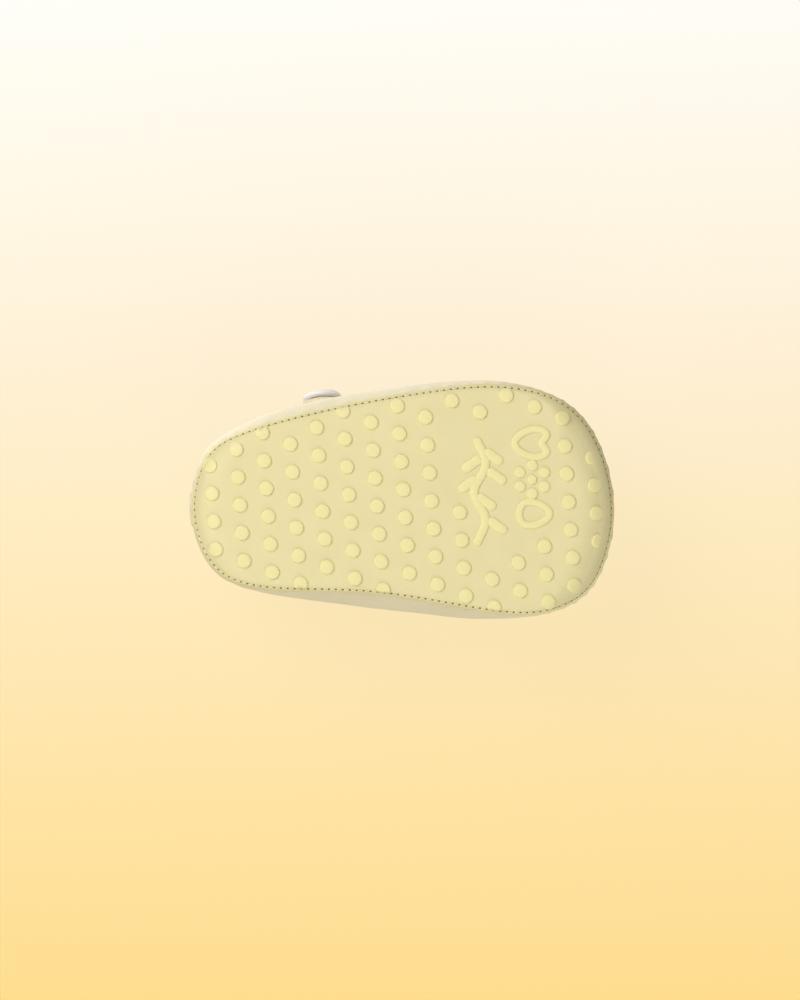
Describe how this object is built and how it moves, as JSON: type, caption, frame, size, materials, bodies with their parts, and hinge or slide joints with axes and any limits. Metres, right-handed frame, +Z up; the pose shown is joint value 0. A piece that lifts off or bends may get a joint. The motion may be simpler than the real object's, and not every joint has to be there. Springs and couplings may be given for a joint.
{
  "type": "baby bootie",
  "caption": "Soft-soled baby shoe with a rounded toe, raised grip dots under the sole and a buttoned strap that swings open over the instep.",
  "frame": {"origin": "on the ground under the middle of the shoe's length and width", "axes": "+X towards the toe, +Y towards the inner (medial) side of the foot, +Z up"},
  "size_m": [0.1128, 0.0634, 0.0419],
  "materials": {
    "sole_leather": "matte grained artificial leather",
    "upper_leather": "matte smooth artificial leather",
    "grip_rubber": "smooth soft rubber print",
    "thread": "twisted polyester thread",
    "lining": "woven cotton",
    "foam": "soft open foam",
    "binding_tape": "folded tape",
    "button_resin": "polished white resin",
    "hook_tape": "hook and loop tape"
  },
  "bodies": {
    "shoe": {"outsole": "sole_leather", "grip_dots": "grip_rubber", "sole_emblem": "grip_rubber", "sole_stitching": "thread", "insole_foam": "foam", "sock_liner": "lining", "vamp": "upper_leather", "back_stay": "upper_leather", "quarter_lateral": "upper_leather", "quarter_medial": "upper_leather", "toe_puff": "foam", "heel_counter": "foam", "side_padding": "foam", "vamp_lining": "lining", "quarter_lining": "lining", "collar_binding": "binding_tape", "strap_stub": "upper_leather", "loop_patch": "hook_tape"},
    "strap": {"strap": "upper_leather", "strap_lining": "lining", "button": "button_resin", "button_shank": "thread", "hook_patch": "hook_tape"}
  },
  "joints": [
    {"name": "strap_swing", "type": "hinge", "parent": "shoe", "child": "strap", "pos_m": [-0.01701, 0.01934, 0.03274], "axis": [-0.9962, 0.0872, 0], "range_deg": [0, 115]}
  ]
}
